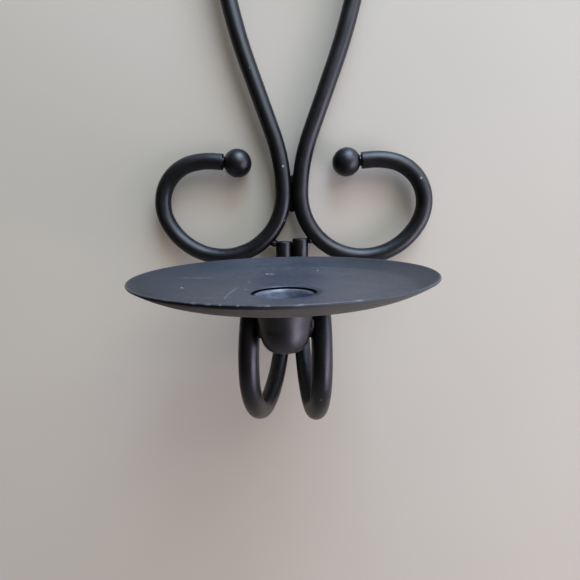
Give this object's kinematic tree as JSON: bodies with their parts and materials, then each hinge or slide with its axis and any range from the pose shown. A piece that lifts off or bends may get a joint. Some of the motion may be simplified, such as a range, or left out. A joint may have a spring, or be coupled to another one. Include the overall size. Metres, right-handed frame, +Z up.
{
  "type": "wall sconce candle holder",
  "caption": "Black steel rod wall sconce with scrolled back frame, ball ends, hooked arms and a round drip pan over a tapered cup for a taper candle.",
  "frame": {"origin": "centre of the hole in the hanger tab, on the wall plane", "axes": "+Z up, +Y into the wall, +X to the right of someone facing the sconce"},
  "size_m": [0.1376, 0.1305, 0.2656],
  "materials": {
    "rod_paint": "satin black paint on round steel bar, with a faint blue sheen and tiny chips",
    "pan_paint": "satin black paint on sheet steel, dulled to slate by dust and fine scratches",
    "cup_paint": "satin black paint on pressed sheet steel",
    "weld_paint": "satin black paint over uneven weld beads"
  },
  "bodies": {
    "root": {"scroll_rod_left": "rod_paint", "support_arm_left": "rod_paint", "ball_lower_left": "rod_paint", "ball_upper_left": "rod_paint", "weld_tab_left": "weld_paint", "weld_arm_left": "weld_paint", "weld_cup_left": "weld_paint", "weld_pan_left": "weld_paint", "scroll_rod_right": "rod_paint", "support_arm_right": "rod_paint", "ball_lower_right": "rod_paint", "ball_upper_right": "rod_paint", "weld_tab_right": "weld_paint", "weld_arm_right": "weld_paint", "weld_cup_right": "weld_paint", "weld_pan_right": "weld_paint", "drip_pan": "pan_paint", "candle_cup": "cup_paint", "hanger_tab": "rod_paint", "weld_waist": "weld_paint", "weld_lobes": "weld_paint", "weld_arm_tops": "weld_paint", "weld_cup_to_pan": "weld_paint"}
  },
  "joints": []
}
